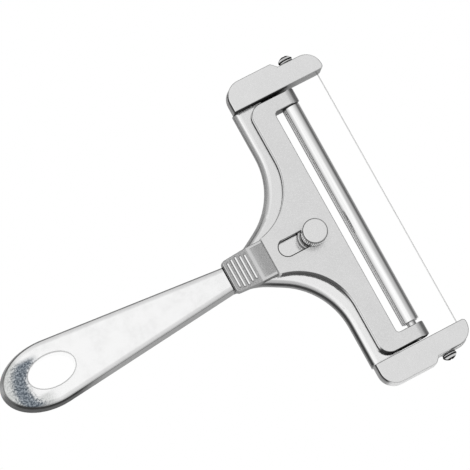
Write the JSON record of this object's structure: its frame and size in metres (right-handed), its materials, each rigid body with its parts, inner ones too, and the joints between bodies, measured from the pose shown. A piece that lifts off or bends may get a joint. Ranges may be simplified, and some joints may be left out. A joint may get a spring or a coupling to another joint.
{
  "type": "cheese slicer",
  "caption": "Hand-held wire cheese slicer: cast fork and handle, taut cutting wire, and a roller on a sliding carriage that a thumb screw clamps to set the slice.",
  "frame": {"origin": "bottom centre of the whole tool's box: the middle of its length and width, on the flat back of the casting", "axes": "+X from the handle to the cutting wire, +Y to the left of the hand that holds it, +Z out of the face that carries the thumb screw"},
  "size_m": [0.2015, 0.159, 0.0178],
  "materials": {
    "cast_alloy": "cast aluminium: blasted matt fork, polished handle and arm edges",
    "cast_alloy_plate": "cast aluminium, finely blasted, matt",
    "roller_metal": "drawn tube, polished along its length",
    "bush_plastic": "turned white plastic",
    "axle_steel": "ground stainless steel rod",
    "knob_metal": "nickel-plated, satin cap and bright teeth",
    "screw_steel": "stainless steel",
    "wire_steel": "drawn stainless steel wire",
    "wire_screw_steel": "bright plated steel that reflects dark surroundings"
  },
  "bodies": {
    "frame": {"frame_casting": "cast_alloy", "cutting_wire": "wire_steel", "wire_screw_left": "wire_screw_steel", "wire_screw_right": "wire_screw_steel", "wire_washer_left": "wire_screw_steel", "wire_washer_right": "wire_screw_steel"},
    "carriage": {"carriage_plate": "cast_alloy_plate", "roller_axle": "axle_steel"},
    "roller": {"roller_tube": "roller_metal", "roller_bush_left": "bush_plastic", "roller_bush_right": "bush_plastic"},
    "clamp_ring": {"clamp_washer": "screw_steel"},
    "thumb_screw": {"thumb_knob": "knob_metal", "clamp_stud": "screw_steel"}
  },
  "joints": [
    {"name": "carriage_slide", "type": "slide", "parent": "frame", "child": "carriage", "axis": [1, 0, 0], "range_m": [0, 0.0125]},
    {"name": "roller_spin", "type": "hinge", "parent": "carriage", "child": "roller", "pos_m": [0.0793, 0, 0.0055], "axis": [0, 1, 0], "continuous": true},
    {"name": "screw_lift", "type": "slide", "parent": "frame", "child": "clamp_ring", "axis": [0, 0, 1], "range_m": [0, 0.0007]},
    {"name": "screw_turn", "type": "hinge", "parent": "clamp_ring", "child": "thumb_screw", "pos_m": [0.0586, 0, 0.0106], "axis": [0, 0, 1], "range_deg": [0, 360]}
  ],
  "couplings": [
    {"joint": "screw_turn", "follows": "screw_lift", "rad_per_m": 8975.9}
  ]
}
